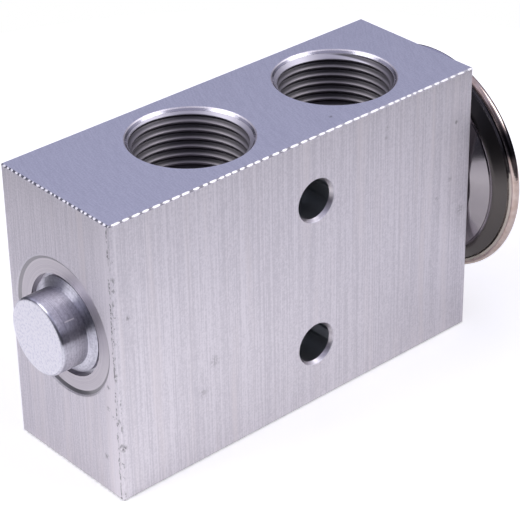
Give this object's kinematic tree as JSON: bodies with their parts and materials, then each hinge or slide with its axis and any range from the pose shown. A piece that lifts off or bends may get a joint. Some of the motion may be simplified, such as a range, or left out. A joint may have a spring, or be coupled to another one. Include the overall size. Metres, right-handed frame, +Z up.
{
  "type": "expansion valve",
  "caption": "Block-type thermostatic expansion valve: drilled aluminium block with threaded ports, an adjusting plug, a ball valve inside and a welded diaphragm head.",
  "frame": {"origin": "centre of the block's base face, which is its lower ported face", "axes": "+X along the valve axis from the adjusting plug to the diaphragm head, +Y across to the rear bolting face, +Z up to the upper ported face"},
  "size_m": [0.0917, 0.041, 0.05],
  "materials": {
    "block_aluminium": "brushed",
    "turned_aluminium": "turned",
    "head_steel": "pressed, with heat tint at the rim",
    "inner_steel": "satin",
    "ball_steel": "polished",
    "seal_rubber": "matt"
  },
  "bodies": {
    "housing": {"valve_body": "block_aluminium", "adjusting_plug": "turned_aluminium", "plug_o_ring": "seal_rubber", "superheat_spring": "inner_steel", "seat_insert": "inner_steel", "rod_o_ring": "seal_rubber", "o_ring_retainer": "inner_steel", "threaded_neck": "head_steel", "neck_o_ring": "seal_rubber", "lower_shell": "head_steel", "diaphragm": "head_steel", "upper_shell": "head_steel", "rim_weld": "head_steel", "charge_plug": "head_steel"},
    "stem_train": {"ball_carrier": "inner_steel", "damping_spring": "inner_steel", "valve_ball": "ball_steel", "pushrod": "inner_steel", "sensing_stem": "turned_aluminium", "diaphragm_pad": "inner_steel"}
  },
  "joints": [
    {"name": "valve_stroke", "type": "slide", "parent": "housing", "child": "stem_train", "axis": [-1, 0, 0], "range_m": [0, 0.0008], "stiffness_N_per_m": 9700, "springref_m": -0.003, "deforming": ["superheat_spring", "diaphragm"]}
  ]
}
